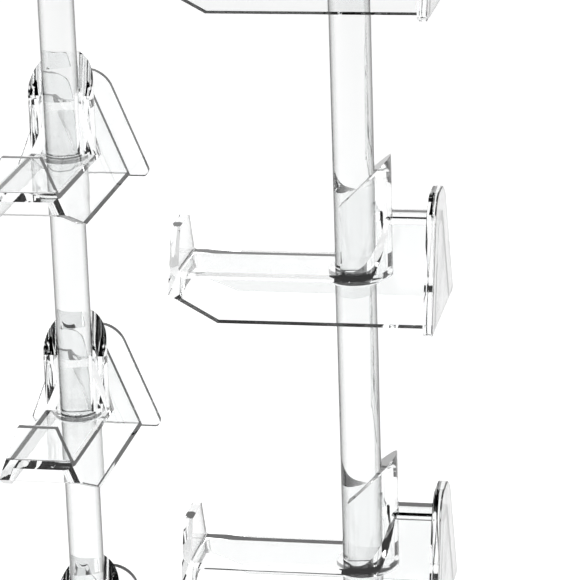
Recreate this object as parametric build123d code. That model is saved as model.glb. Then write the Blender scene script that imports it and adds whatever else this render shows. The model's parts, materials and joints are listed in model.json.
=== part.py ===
from build123d import *
import math
import os

# Rotating eyeglass display: four columns of clear moulded holders on a turntable.
# Row frame: origin on the table at the turntable's axis, +Z up, column a towards +X.
# Holder frame: +X forwards (away from the turntable's axis), +Y sideways, +Z up,
# with the origin on the column's axis at the height of the holder's floor.

os.makedirs("parts", exist_ok=True)

# ---------------------------------------------------------------- layout, millimetres
COLUMNS = "abcd"                 # one column every quarter turn, a first
TIERS = 4
COLUMN_RADIUS = 97.0             # turntable axis to column axis
TIER_PITCH = 75.0                # height from one holder's floor to the next

# ---------------------------------------------------------------- column rod and its socket
ROD_R = 5.0
ROD_CHAMFER = 0.3
SOCKET_R = 5.05                  # running fit, so every tier can be swivelled
SOCKET_DEPTH = 1.5               # socket floor below the holder's floor
WEB_BOTTOM = -3.8                # underside of the web, where the rod below is bonded on
END_GAP = 0.1                    # between end faces that run on each other, such as rod and socket

# ---------------------------------------------------------------- holder
WALL = 2.3
FLOOR_HALF_WIDTH = 9.3
SIDE_SLOPE = 0.4                 # each side runs outwards this much per millimetre down
CHANNEL_BOTTOM = -11.2
REAR_FACE = -43.7
REAR_TOP = 10.0                  # top of the rear plate that keeps the temples in
BEVEL_TOP = -5.2                 # the channel's rear end is bevelled from here ...
BEVEL_END = -31.4                # ... down to the bottom edge here
RIDGE_TOP = 13.0                 # bridge of the glasses rests on this ridge
RIDGE_CORNER_R = 1.2
NOSE_FACE = 18.5                 # rear face of the nose plate
NOSE_TOP = 19.0
NOSE_BOTTOM = -11.8
NOSE_FLANGE = 5.8                # nose plate beyond the channel on each side
NOSE_SHOULDER_R = 8.0
NOSE_CORNER_R = 1.7
SLEEVE_R = 9.0
SLEEVE_BACK = -2.3               # flat back of the sleeve, the rod stands out of it
SLEEVE_TOP = 27.2                # highest point of the sleeve, at its front
SLEEVE_RISE = 0.95               # its top is cut on the slant, and climbs this much per millimetre forwards
PAD_R = 6.6                      # round pad under the floor that carries both rods
SOFT_EDGE = 0.4                  # round front edge of the nose plate
CHANNEL_CORNER_R = 1.5           # upright inside corners at the rear end of the channel
REST_CORNER_R = 0.7              # inside corner between the floor and the rear plate

# ---------------------------------------------------------------- base and turntable
FOOT_HEIGHT = 3.0
FOOT_R = 9.0
FOOT_CIRCLE_R = 95.0
FOOT_EDGE_R = 0.8
BASE_R = 115.0
BASE_THICK = 12.0
PLATFORM_R = 124.0
PLATFORM_THICK = 8.0
DISC_CHAMFER = 1.0
RACE_THICK = 2.5
RACE_INNER_R = 44.0
RACE_OUTER_R = 64.0
BALL_R = 2.5
BALL_COUNT = 20
BALL_RISE = 1.3                  # ball centre above the lower race
BALL_GAP = 0.05
CAGE_THICK = 1.4
CAGE_INNER_R = 50.6
CAGE_OUTER_R = 57.4
CAGE_GAP = 0.1
RACE_SCREW_COUNT = 4
RACE_SCREW_R = 1.5
RACE_SCREW_HEAD_R = 2.6
RACE_SCREW_HEAD = 0.9
RACE_SCREW_LENGTH = 7.0
RACE_SCREW_INSET = 3.4           # screw axis from the race's inner edge
SCREW_START = 45.0               # degrees; race screws and feet lie between the columns
HOLE_DEPTH_SPARE = 0.5           # blind race screw hole beyond the end of its screw
BONDED_GAP = 0.02                # threaded hole round its screw or bolt
SNUG_GAP = 0.05                  # race screw in its hole, bolt in its bush
LOOSE_GAP = 0.1
BOLT_HOLE_GAP = 0.2

PIVOT_R = 4.0
PIVOT_HEAD_WIDTH = 13.0          # across the flats of the bolt's hexagon head
PIVOT_HEAD = 5.3
PIVOT_RECESS_R = 10.0
PIVOT_RECESS = 6.3
BUSH_R = 7.0
BUSH_FLANGE_R = 10.5
BUSH_FLANGE = 1.5
WASHER_R = 9.0
WASHER_THICK = 1.5
NUT_WIDTH = 13.0
NUT_HEIGHT = 5.5
NUT_DOME_R = 5.6
NUT_BORE_SPARE = 0.3             # blind bore of the nut beyond the end of the bolt

COLLAR_FLANGE_R = 14.0
COLLAR_FLANGE = 3.0
COLLAR_R = 8.0
COLLAR_HEIGHT = 30.0
COLLAR_FLOOR = 4.4               # solid bottom of the collar that the screw goes into
COLLAR_SCREW_R = 2.0
COLLAR_SCREW_HEAD_R = 3.8
COLLAR_SCREW_HEAD = 2.4
COLLAR_EDGE_R = 1.2
COLLAR_HOLE_CEILING = 0.8        # solid left between the screw hole and the socket
COLLAR_SCREW_CEILING = 1.2       # end of the screw to the socket's floor

CAP_GAP = 0.2                    # underside of the cap's head to the top of the sleeve
CAP_HEAD_R = 6.4
CAP_HEAD_THICK = 2.2
CAP_DOME = 2.0

# ---------------------------------------------------------------- heights that follow
BASE_BOTTOM = FOOT_HEIGHT
BASE_TOP = BASE_BOTTOM + BASE_THICK
LOWER_RACE_TOP = BASE_TOP + RACE_THICK
BALL_Z = LOWER_RACE_TOP + BALL_RISE
UPPER_RACE_BOTTOM = BALL_Z + BALL_RISE
PLATFORM_BOTTOM = UPPER_RACE_BOTTOM + RACE_THICK
PLATFORM_TOP = PLATFORM_BOTTOM + PLATFORM_THICK
BALL_CIRCLE_R = (RACE_INNER_R + RACE_OUTER_R) / 2
RACE_SCREW_CIRCLE_R = RACE_INNER_R + RACE_SCREW_INSET
BUSH_TOP = PLATFORM_TOP + BUSH_FLANGE
WASHER_BOTTOM = BUSH_TOP + END_GAP
NUT_BOTTOM = WASHER_BOTTOM + WASHER_THICK
ROD_BOTTOM = -TIER_PITCH - SOCKET_DEPTH + END_GAP
FIRST_FLOOR = PLATFORM_TOP + COLLAR_FLOOR + END_GAP - ROD_BOTTOM

UPWARDS = (Align.CENTER, Align.CENTER, Align.MIN)


def post(radius, low, high):
    """An upright cylinder on the local Z axis between two heights."""
    return Pos(0, 0, low) * Cylinder(radius, high - low, align=UPWARDS)


def ring(outer, inner, low, high):
    """An upright ring; the hole is cut past both faces."""
    return post(outer, low, high) - post(inner, low - 1, high + 1)


def hexagon(width, low, high):
    """An upright hexagon prism, width across its flats."""
    return extrude(Pos(0, 0, low) * RegularPolygon(width / 2, 6, major_radius=False), high - low)


def around(radius, count, start=0.0):
    """Places on a circle about the turntable's axis."""
    return [Rot(0, 0, start + 360 * i / count) * Pos(radius, 0, 0) for i in range(count)]


# ---------------------------------------------------------------- holder

def half_width(z):
    """Half the width of the nose-shaped outline at height z."""
    return FLOOR_HALF_WIDTH - SIDE_SLOPE * z


def nose_prism(start, end, low, high, inset=0.0):
    """The nose-shaped outline between two heights, carried forwards from start to end."""
    wide, narrow = half_width(low) - inset, half_width(high) - inset
    outline = Polygon((-wide, low), (wide, low), (narrow, high), (-narrow, high), align=None)
    return extrude(Plane.YZ.offset(start) * outline, amount=end - start, dir=(1, 0, 0))


def make_nose_plate():
    """The front plate: the same nose shape, wider, with round shoulders."""
    wide = half_width(NOSE_BOTTOM) + NOSE_FLANGE
    narrow = half_width(NOSE_TOP) + NOSE_FLANGE
    outline = Polygon(
        (-wide, NOSE_BOTTOM), (wide, NOSE_BOTTOM), (narrow, NOSE_TOP), (-narrow, NOSE_TOP), align=None
    )
    corners = outline.vertices().sort_by(Axis.Y)
    outline = fillet(corners[:2], NOSE_CORNER_R)
    shoulders = outline.vertices().filter_by(lambda v: v.Y > NOSE_TOP - 0.01)
    outline = fillet(shoulders, NOSE_SHOULDER_R)
    plate = extrude(Plane.YZ.offset(NOSE_FACE) * outline, amount=WALL, dir=(1, 0, 0))
    front = plate.faces().sort_by(Axis.X)[-1]
    return fillet(front.edges(), SOFT_EDGE)


def make_sleeve():
    """The half-round sleeve behind the ridge: flat at the back, its top cut on the slant."""
    front = SLEEVE_R + 1
    back_top = SLEEVE_TOP - SLEEVE_RISE * (SLEEVE_R - SLEEVE_BACK)
    front_top = SLEEVE_TOP + SLEEVE_RISE * (front - SLEEVE_R)
    side = Polygon(
        (SLEEVE_BACK, -WALL), (front, -WALL), (front, front_top), (SLEEVE_BACK, back_top), align=None
    )
    return post(SLEEVE_R, -WALL, front_top) & extrude(Plane.XZ * side, amount=front, both=True)


def make_ridge():
    """The ridge between the sleeve and the nose plate, with round shoulders for the bridge."""
    ridge = nose_prism(SLEEVE_BACK, NOSE_FACE, 0, RIDGE_TOP)
    shoulders = ridge.edges().filter_by(Axis.X).sort_by(Axis.Z)[-2:]
    return fillet(shoulders, RIDGE_CORNER_R)


def make_channel_hollow(across):
    """The open underside of the channel, with round upright corners at the rear plate."""
    hollow = nose_prism(REAR_FACE + WALL, NOSE_FACE, CHANNEL_BOTTOM - 1, -WALL, across)
    rear = hollow.faces().sort_by(Axis.X)[0]
    corners = rear.edges().filter_by(lambda edge: abs(edge.tangent_at(0).Z) > 0.5)
    return fillet(corners, CHANNEL_CORNER_R)


def make_rear_bevel():
    """What is cut off under the rear end of the channel."""
    slope = (CHANNEL_BOTTOM - BEVEL_TOP) / (BEVEL_END - REAR_FACE)
    margin = 2.0
    start, end = REAR_FACE - margin, BEVEL_END + margin
    outline = Polygon(
        (start, BEVEL_TOP - slope * margin),
        (end, CHANNEL_BOTTOM + slope * margin),
        (start, CHANNEL_BOTTOM + slope * margin),
        align=None,
    )
    return extrude(Plane.XZ * outline, amount=2 * FLOOR_HALF_WIDTH, both=True)


def make_holder():
    """One moulding: channel, rear plate, ridge, nose plate, sleeve and pad."""
    across = WALL * math.hypot(1, SIDE_SLOPE)
    inside = REAR_FACE + WALL
    body = nose_prism(REAR_FACE, NOSE_FACE, CHANNEL_BOTTOM, 0)
    body += nose_prism(REAR_FACE, inside, 0, REAR_TOP)
    rest_corner = body.edges().filter_by(Axis.Y).sort_by_distance((inside, 0, 0))[0]
    body = fillet(rest_corner, REST_CORNER_R)
    body += make_ridge()
    body -= make_channel_hollow(across)
    body -= nose_prism(SLEEVE_BACK, NOSE_FACE, -WALL, RIDGE_TOP - WALL, across)
    body -= make_rear_bevel()
    body += make_sleeve()
    body += post(PAD_R, WEB_BOTTOM, 0)
    body += make_nose_plate()
    return body - post(SOCKET_R, -SOCKET_DEPTH, SLEEVE_TOP + 1)


# ---------------------------------------------------------------- other column pieces

def make_rod():
    """The clear rod under a holder; its lower end stands in the next socket down."""
    rod = post(ROD_R, ROD_BOTTOM, WEB_BOTTOM)
    lower_rim = rod.edges().filter_by(GeomType.CIRCLE).sort_by(Axis.Z)[0]
    return chamfer(lower_rim, ROD_CHAMFER)


def make_cap():
    """The domed stopper of a column; its stem fills the top socket."""
    seat = SLEEVE_TOP + CAP_GAP
    plug = post(ROD_R, END_GAP - SOCKET_DEPTH, seat)
    head = post(CAP_HEAD_R, seat, seat + CAP_HEAD_THICK)
    dome_r = (CAP_HEAD_R**2 + CAP_DOME**2) / (2 * CAP_DOME)
    dome_centre = seat + CAP_HEAD_THICK + CAP_DOME - dome_r
    dome = Pos(0, 0, dome_centre) * Sphere(dome_r)
    dome &= post(CAP_HEAD_R, seat + CAP_HEAD_THICK, seat + CAP_HEAD_THICK + CAP_DOME + 1)
    return plug + head + dome


# ---------------------------------------------------------------- base pieces

def race_screws(surface, driven):
    """Pan-head screws for one race; driven is +1 upwards or -1 downwards from its face."""
    screws = []
    for place in around(RACE_SCREW_CIRCLE_R, RACE_SCREW_COUNT, SCREW_START):
        shank_end = surface + driven * RACE_SCREW_LENGTH
        head_end = surface - driven * RACE_SCREW_HEAD
        shank = post(RACE_SCREW_R, min(surface, shank_end), max(surface, shank_end))
        head = post(RACE_SCREW_HEAD_R, min(surface, head_end), max(surface, head_end))
        screws.append(place * (shank + head))
    return screws


def drill(body, radius, low, high, places):
    """Cut the same upright hole at several places."""
    for place in places:
        body -= place * post(radius, low, high)
    return body


def make_base_plate():
    """The fixed disc, recessed underneath for the pivot bolt's head."""
    plate = post(BASE_R, BASE_BOTTOM, BASE_TOP)
    plate = chamfer(plate.edges().filter_by(GeomType.CIRCLE), DISC_CHAMFER)
    plate -= post(PIVOT_RECESS_R, BASE_BOTTOM - 1, BASE_BOTTOM + PIVOT_RECESS)
    plate -= post(PIVOT_R + BOLT_HOLE_GAP, BASE_BOTTOM, BASE_TOP + 1)
    screw_low = LOWER_RACE_TOP - RACE_SCREW_LENGTH - HOLE_DEPTH_SPARE
    places = around(RACE_SCREW_CIRCLE_R, RACE_SCREW_COUNT, SCREW_START)
    return drill(plate, RACE_SCREW_R + SNUG_GAP, screw_low, BASE_TOP + 1, places)


def make_feet():
    """Four round rubber feet under the base."""
    foot = post(FOOT_R, 0, FOOT_HEIGHT)
    foot = fillet(foot.edges().filter_by(GeomType.CIRCLE).sort_by(Axis.Z)[0], FOOT_EDGE_R)
    return [place * foot for place in around(FOOT_CIRCLE_R, 4, SCREW_START)]


def ball_groove():
    """The round groove that the balls run in, in either race."""
    return Pos(0, 0, BALL_Z) * Torus(BALL_CIRCLE_R, BALL_R + BALL_GAP)


def make_race(low):
    """A flat steel race with a groove on the side of the balls and four screw holes."""
    race = ring(RACE_OUTER_R, RACE_INNER_R, low, low + RACE_THICK) - ball_groove()
    places = around(RACE_SCREW_CIRCLE_R, RACE_SCREW_COUNT, SCREW_START)
    return drill(race, RACE_SCREW_R + SNUG_GAP, low - 1, low + RACE_THICK + 1, places)


def make_cage():
    """The flat nylon ring that spaces the balls."""
    half = CAGE_THICK / 2
    cage = ring(CAGE_OUTER_R, CAGE_INNER_R, BALL_Z - half, BALL_Z + half)
    places = around(BALL_CIRCLE_R, BALL_COUNT)
    return drill(cage, BALL_R + CAGE_GAP, BALL_Z - CAGE_THICK, BALL_Z + CAGE_THICK, places)


def make_balls():
    """The ring of steel balls."""
    return [place * Pos(0, 0, BALL_Z) * Sphere(BALL_R) for place in around(BALL_CIRCLE_R, BALL_COUNT)]


def make_pivot_bolt():
    """The bolt that the turntable turns about."""
    head_top = BASE_BOTTOM + PIVOT_RECESS
    shank_top = NUT_BOTTOM + NUT_HEIGHT
    return hexagon(PIVOT_HEAD_WIDTH, head_top - PIVOT_HEAD, head_top) + post(PIVOT_R, head_top, shank_top)


def make_cap_nut():
    """The domed nut on top of the pivot bolt."""
    top = NUT_BOTTOM + NUT_HEIGHT
    dome = (Pos(0, 0, top) * Sphere(NUT_DOME_R)) & post(NUT_DOME_R, top, top + NUT_DOME_R)
    nut = hexagon(NUT_WIDTH, NUT_BOTTOM, top) + dome
    return nut - post(PIVOT_R + BONDED_GAP, NUT_BOTTOM - 1, top + NUT_BORE_SPARE)


def make_bush():
    """The flanged nylon bush pressed into the platform."""
    sleeve = ring(BUSH_R, PIVOT_R + SNUG_GAP, PLATFORM_BOTTOM, PLATFORM_TOP)
    return sleeve + ring(BUSH_FLANGE_R, PIVOT_R + SNUG_GAP, PLATFORM_TOP, BUSH_TOP)


def make_platform():
    """The turning disc, drilled for the bush, the race screws and the collar screws."""
    disc = post(PLATFORM_R, PLATFORM_BOTTOM, PLATFORM_TOP)
    disc = chamfer(disc.edges().filter_by(GeomType.CIRCLE), DISC_CHAMFER)
    disc -= post(BUSH_R, PLATFORM_BOTTOM - 1, PLATFORM_TOP + 1)
    screw_top = UPPER_RACE_BOTTOM + RACE_SCREW_LENGTH + HOLE_DEPTH_SPARE
    places = around(RACE_SCREW_CIRCLE_R, RACE_SCREW_COUNT, SCREW_START)
    disc = drill(disc, RACE_SCREW_R + SNUG_GAP, PLATFORM_BOTTOM - 1, screw_top, places)
    collars = around(COLUMN_RADIUS, len(COLUMNS))
    head_top = PLATFORM_BOTTOM + COLLAR_SCREW_HEAD
    disc = drill(disc, COLLAR_SCREW_HEAD_R + LOOSE_GAP, PLATFORM_BOTTOM - 1, head_top, collars)
    return drill(disc, COLLAR_SCREW_R + LOOSE_GAP, PLATFORM_BOTTOM, PLATFORM_TOP + 1, collars)


def make_collar():
    """The socket that a column's lowest rod stands in, on its own axis."""
    flange = post(COLLAR_FLANGE_R, PLATFORM_TOP, PLATFORM_TOP + COLLAR_FLANGE)
    flange = fillet(flange.edges().filter_by(GeomType.CIRCLE).sort_by(Axis.Z)[-1], COLLAR_EDGE_R)
    collar = flange + post(COLLAR_R, PLATFORM_TOP, PLATFORM_TOP + COLLAR_HEIGHT)
    collar -= post(SOCKET_R, PLATFORM_TOP + COLLAR_FLOOR, PLATFORM_TOP + COLLAR_HEIGHT + 1)
    hole_top = PLATFORM_TOP + COLLAR_FLOOR - COLLAR_HOLE_CEILING
    return collar - post(COLLAR_SCREW_R + BONDED_GAP, PLATFORM_TOP - 1, hole_top)


def make_collar_screws():
    """One screw up through the platform into each collar."""
    head = post(COLLAR_SCREW_HEAD_R, PLATFORM_BOTTOM, PLATFORM_BOTTOM + COLLAR_SCREW_HEAD)
    screw_top = PLATFORM_TOP + COLLAR_FLOOR - COLLAR_SCREW_CEILING
    screw = head + post(COLLAR_SCREW_R, PLATFORM_BOTTOM, screw_top)
    return [place * screw for place in around(COLUMN_RADIUS, len(COLUMNS))]


# ---------------------------------------------------------------- assembly

def write(name, shape):
    """One STEP file for one node; a list of solids becomes one group."""
    if isinstance(shape, list):
        shape = Compound(children=shape)
    export_step(shape, f"parts/{name}.step")


write("base_plate", make_base_plate())
write("foot_set", make_feet())
write("lower_race", make_race(BASE_TOP))
write("lower_race_screws", race_screws(LOWER_RACE_TOP, -1))
write("ball_cage", make_cage())
write("ball_set", make_balls())
write("upper_race", make_race(UPPER_RACE_BOTTOM))
write("upper_race_screws", race_screws(UPPER_RACE_BOTTOM, 1))
write("platform", make_platform())
write("pivot_bush", make_bush())
write("pivot_bolt", make_pivot_bolt())
write("pivot_washer", ring(WASHER_R, PIVOT_R + LOOSE_GAP, WASHER_BOTTOM, NUT_BOTTOM))
write("pivot_cap_nut", make_cap_nut())
write("collar_screws", make_collar_screws())

holder, rod, cap, collar = make_holder(), make_rod(), make_cap(), make_collar()
for column, place in zip(COLUMNS, around(COLUMN_RADIUS, len(COLUMNS))):
    write(f"collar_{column}", place * collar)
    for tier in range(TIERS):
        level = place * Pos(0, 0, FIRST_FLOOR + tier * TIER_PITCH)
        write(f"holder_{column}{tier + 1}", level * holder)
        write(f"rod_{column}{tier + 1}", level * rod)
    write(f"cap_{column}", level * cap)

print("floor of the lowest holder at", FIRST_FLOOR)
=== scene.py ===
import json
import math

import bpy
from mathutils import Matrix, Vector


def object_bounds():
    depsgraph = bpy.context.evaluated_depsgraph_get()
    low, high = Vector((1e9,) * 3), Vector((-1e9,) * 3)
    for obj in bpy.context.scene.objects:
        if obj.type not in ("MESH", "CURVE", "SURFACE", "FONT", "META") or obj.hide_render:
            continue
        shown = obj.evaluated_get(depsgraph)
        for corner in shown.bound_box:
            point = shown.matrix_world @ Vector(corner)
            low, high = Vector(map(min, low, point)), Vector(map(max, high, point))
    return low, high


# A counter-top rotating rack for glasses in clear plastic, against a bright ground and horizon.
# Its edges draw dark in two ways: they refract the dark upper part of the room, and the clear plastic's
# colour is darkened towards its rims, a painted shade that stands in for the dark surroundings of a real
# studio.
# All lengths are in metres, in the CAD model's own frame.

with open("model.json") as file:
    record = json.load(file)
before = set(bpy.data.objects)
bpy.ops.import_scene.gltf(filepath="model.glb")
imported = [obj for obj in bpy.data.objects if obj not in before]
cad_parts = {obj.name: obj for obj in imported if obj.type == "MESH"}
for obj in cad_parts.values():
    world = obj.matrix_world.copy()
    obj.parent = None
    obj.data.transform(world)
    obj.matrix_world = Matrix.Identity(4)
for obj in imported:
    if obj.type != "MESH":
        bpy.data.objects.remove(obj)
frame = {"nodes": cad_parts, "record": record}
cad_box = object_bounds()
nodes = frame["nodes"]
scene = bpy.context.scene

MM = 0.001
STOCK_IOR = 1.49                       # acrylic


# ---------------------------------------------------------------- camera

CAMERA_PLACE = Vector((0.2096, -0.6690, 0.4705))
CAMERA_TURN = math.radians(10.9)       # looks this far left of +Y
CAMERA_TILT = math.radians(17.585)     # looks this far below the horizon
CAMERA_ROLL = math.radians(-1.846)
CAMERA_LENS_MM = 184.36


def make_camera():
    """The camera at the photograph's viewing angle."""
    sin_turn, cos_turn = math.sin(CAMERA_TURN), math.cos(CAMERA_TURN)
    sin_tilt, cos_tilt = math.sin(CAMERA_TILT), math.cos(CAMERA_TILT)
    ahead = Vector((-sin_turn * cos_tilt, cos_turn * cos_tilt, -sin_tilt))
    level = Vector((cos_turn, sin_turn, 0))
    upright = level.cross(ahead)
    right = math.cos(CAMERA_ROLL) * level + math.sin(CAMERA_ROLL) * upright
    up = right.cross(ahead)
    camera = bpy.data.objects.new("camera", bpy.data.cameras.new("camera"))
    camera.data.sensor_width = 36
    camera.data.lens = CAMERA_LENS_MM
    camera.data.clip_start = 0.05
    camera.data.clip_end = 50
    turn = Matrix((right, up, -ahead)).transposed().to_4x4()
    camera.matrix_world = Matrix.Translation(CAMERA_PLACE) @ turn
    scene.collection.objects.link(camera)
    scene.camera = camera


# ---------------------------------------------------------------- node helpers

def new_material(name):
    """An empty node material with its Principled shader and output."""
    material = bpy.data.materials.new(name)
    material.use_nodes = True
    tree = material.node_tree
    tree.nodes.clear()
    output = tree.nodes.new("ShaderNodeOutputMaterial")
    shader = tree.nodes.new("ShaderNodeBsdfPrincipled")
    tree.links.new(shader.outputs["BSDF"], output.inputs["Surface"])
    return material, tree, shader


def noise(tree, scale, detail=2.0, roughness=0.5, stretch=None):
    """Noise in the object's own space; stretch multiplies the scale along x, y and z."""
    coordinates = tree.nodes.new("ShaderNodeTexCoord").outputs["Object"]
    if stretch:
        mapping = tree.nodes.new("ShaderNodeMapping")
        mapping.inputs["Scale"].default_value = stretch
        tree.links.new(coordinates, mapping.inputs["Vector"])
        coordinates = mapping.outputs["Vector"]
    texture = tree.nodes.new("ShaderNodeTexNoise")
    texture.inputs["Scale"].default_value = scale
    texture.inputs["Detail"].default_value = detail
    texture.inputs["Roughness"].default_value = roughness
    tree.links.new(coordinates, texture.inputs["Vector"])
    return texture.outputs["Fac"]


def spread(tree, value, low, high, from_low=0.3, from_high=0.7):
    """Maps a noise value on to a range."""
    node = tree.nodes.new("ShaderNodeMapRange")
    node.inputs["From Min"].default_value = from_low
    node.inputs["From Max"].default_value = from_high
    node.inputs["To Min"].default_value = low
    node.inputs["To Max"].default_value = high
    tree.links.new(value, node.inputs["Value"])
    return node.outputs["Result"]


def bump(tree, shader, height, distance, strength=1.0):
    """Bumps a shader's normal by a noise value."""
    node = tree.nodes.new("ShaderNodeBump")
    node.inputs["Strength"].default_value = strength
    node.inputs["Distance"].default_value = distance
    tree.links.new(height, node.inputs["Height"])
    tree.links.new(node.outputs["Normal"], shader.inputs["Normal"])


def mix_colours(tree, value, first, second):
    """A colour between two colours."""
    node = tree.nodes.new("ShaderNodeMix")
    node.data_type = "RGBA"
    node.inputs["A"].default_value = (*first, 1)
    node.inputs["B"].default_value = (*second, 1)
    tree.links.new(value, node.inputs["Factor"])
    return node.outputs["Result"]


# ---------------------------------------------------------------- materials

CLEAR = (0.93, 0.937, 0.937)           # mouldings
ROD_CLEAR = (0.86, 0.866, 0.866)
# painted shade: the clear plastic's colour goes towards this near black at its rims
PAINTED_RIM_SHADE = (0.01, 0.01, 0.01)
MOULDING_PAINTED_SHADE_RANGE = (0.74, 0.94)      # Layer Weight's facing, where the painted rim shade begins and where it is darkest
ROD_PAINTED_SHADE_RANGE = (0.24, 0.66)
ALONG_THE_ROD = (1, 1, 0.05)           # draws the ripple out along Z
HAZE = 0.035                           # roughness of the most handled spots
BLACK = (0.008, 0.008, 0.009)
BLACK_WORN = (0.014, 0.014, 0.015)


def clear_plastic(name, clear, painted_shade_range, ripple, ripple_scale, stretch=None):
    """Clear polished plastic: a painted dark shade at the rims, a slow ripple of the surface and faint
    handling haze.

    clear is the tint seen face on; the range argument gives where the painted rim shade begins and where
    it is darkest.
    """
    material, tree, shader = new_material(name)
    facing = tree.nodes.new("ShaderNodeLayerWeight").outputs["Facing"]
    # painted shade: the colour darkens towards the rims, standing in for a studio's dark surroundings
    painted_rim_shade = spread(tree, facing, 0.0, 1.0, *painted_shade_range)
    tree.links.new(mix_colours(tree, painted_rim_shade, clear, PAINTED_RIM_SHADE), shader.inputs["Base Color"])
    shader.inputs["IOR"].default_value = STOCK_IOR
    shader.inputs["Transmission Weight"].default_value = 1.0
    haze = spread(tree, noise(tree, 260, 5, 0.6), 0.0, HAZE, 0.45, 0.75)
    tree.links.new(haze, shader.inputs["Roughness"])
    bump(tree, shader, noise(tree, ripple_scale, 1.5, 0.4, stretch), ripple)
    return material


def brushed_metal(name, base, roughness, grain):
    """Metal with a fine turned grain and a little colour drift."""
    material, tree, shader = new_material(name)
    shader.inputs["Metallic"].default_value = 1.0
    tone = spread(tree, noise(tree, 90, 3), 0.0, 1.0)
    darker = tuple(0.86 * c for c in base)
    tree.links.new(mix_colours(tree, tone, darker, base), shader.inputs["Base Color"])
    fine = noise(tree, grain, 4, 0.7)
    tree.links.new(spread(tree, fine, roughness * 0.7, roughness * 1.3), shader.inputs["Roughness"])
    bump(tree, shader, fine, 0.01 * MM, 0.5)
    return material


def matt_plastic(name, base, shade, roughness, grain, depth):
    """Matt plastic or rubber with a fine moulded grain."""
    material, tree, shader = new_material(name)
    tone = spread(tree, noise(tree, 140, 3), 0.0, 1.0)
    tree.links.new(mix_colours(tree, tone, shade, base), shader.inputs["Base Color"])
    fine = noise(tree, grain, 3, 0.6)
    tree.links.new(spread(tree, fine, roughness - 0.08, roughness + 0.08), shader.inputs["Roughness"])
    bump(tree, shader, fine, depth, 0.6)
    return material


def black_gloss(name):
    """Polished black sheet with fine handling marks in the gloss."""
    material, tree, shader = new_material(name)
    tone = spread(tree, noise(tree, 60, 3), 0.0, 1.0)
    tree.links.new(mix_colours(tree, tone, BLACK, BLACK_WORN), shader.inputs["Base Color"])
    marks = noise(tree, 180, 5, 0.65)
    tree.links.new(spread(tree, marks, 0.06, 0.16, 0.4, 0.7), shader.inputs["Roughness"])
    bump(tree, shader, noise(tree, 25, 2), 0.02 * MM, 0.4)
    return material


def make_materials():
    """One material for each slot of the record."""
    return {
        "clear_moulding": clear_plastic("clear_moulding", CLEAR, MOULDING_PAINTED_SHADE_RANGE, 0.06 * MM, 70),
        "clear_rod": clear_plastic(
            "clear_rod", ROD_CLEAR, ROD_PAINTED_SHADE_RANGE, 0.03 * MM, 120, ALONG_THE_ROD
        ),
        "black_sheet": black_gloss("black_sheet"),
        "steel": brushed_metal("steel", (0.62, 0.63, 0.64), 0.32, 900),
        "ball_steel": brushed_metal("ball_steel", (0.78, 0.79, 0.80), 0.10, 500),
        "nylon": matt_plastic("nylon", (0.86, 0.85, 0.80), (0.80, 0.79, 0.73), 0.55, 900, 0.02 * MM),
        "rubber": matt_plastic("rubber", (0.035, 0.035, 0.036), (0.02, 0.02, 0.02), 0.8, 1200, 0.03 * MM),
    }


def dress_nodes():
    """Every CAD node takes the material of its slot."""
    materials = make_materials()
    for part in frame["record"]["subparts"]:
        piece = nodes[part["node"]]
        piece.data.materials.clear()
        piece.data.materials.append(materials[part["material_slot"]])


# ---------------------------------------------------------------- studio

FLOOR_RADIUS = 9.0
FLOOR_GLOW = 0.60


def make_floor():
    """A plain pale round floor, lit softly from below like a light table."""
    bpy.ops.mesh.primitive_circle_add(vertices=96, radius=FLOOR_RADIUS, fill_type="NGON")
    floor = bpy.context.object
    floor.name = "floor"
    material, tree, shader = new_material("floor")
    shader.inputs["Base Color"].default_value = (0.86, 0.86, 0.86, 1)
    shader.inputs["Roughness"].default_value = 0.7
    shader.inputs["Emission Color"].default_value = (1, 1, 1, 1)
    shader.inputs["Emission Strength"].default_value = FLOOR_GLOW
    floor.data.materials.append(material)


WHITE_BELOW = 0.42                     # sine of the elevation where the bright horizon ends
DARK_ABOVE = 0.50
HORIZON_LIGHT = 1.15
ROOM_LIGHT = 0.02


def make_world():
    """A bright horizon that fades to a dark room overhead."""
    world = bpy.data.worlds.new("studio")
    scene.world = world
    world.use_nodes = True
    tree = world.node_tree
    background = tree.nodes["Background"]
    background.inputs["Color"].default_value = (1, 1, 1, 1)
    direction = tree.nodes.new("ShaderNodeTexCoord").outputs["Generated"]
    split = tree.nodes.new("ShaderNodeSeparateXYZ")
    tree.links.new(direction, split.inputs["Vector"])
    fade = tree.nodes.new("ShaderNodeMapRange")
    fade.interpolation_type = "SMOOTHSTEP"
    fade.inputs["From Min"].default_value = WHITE_BELOW
    fade.inputs["From Max"].default_value = DARK_ABOVE
    fade.inputs["To Min"].default_value = HORIZON_LIGHT
    fade.inputs["To Max"].default_value = ROOM_LIGHT
    tree.links.new(split.outputs["Z"], fade.inputs["Value"])
    tree.links.new(fade.outputs["Result"], background.inputs["Strength"])


def make_softbox(name, place, size, power):
    """A rectangular soft light that faces the rack."""
    light = bpy.data.lights.new(name, "AREA")
    light.shape = "RECTANGLE"
    light.size, light.size_y = size
    light.energy = power
    lamp = bpy.data.objects.new(name, light)
    lamp.location = place
    centre = Vector((0, 0, (cad_box[0].z + cad_box[1].z) / 2))
    lamp.rotation_euler = (Vector(place) - centre).to_track_quat("Z", "Y").to_euler()
    scene.collection.objects.link(lamp)


def make_studio():
    """Floor, world and soft lights."""
    make_floor()
    make_world()
    make_softbox("softbox_left", (-1.6, -1.2, 2.0), (1.0, 1.0), 30)
    make_softbox("softbox_right", (1.8, 0.6, 2.2), (0.8, 1.2), 25)
    scene.view_settings.view_transform = "Standard"
    scene.cycles.transmission_bounces = 16
    scene.cycles.max_bounces = 20


# ---------------------------------------------------------------- put together

make_camera()
dress_nodes()
make_studio()
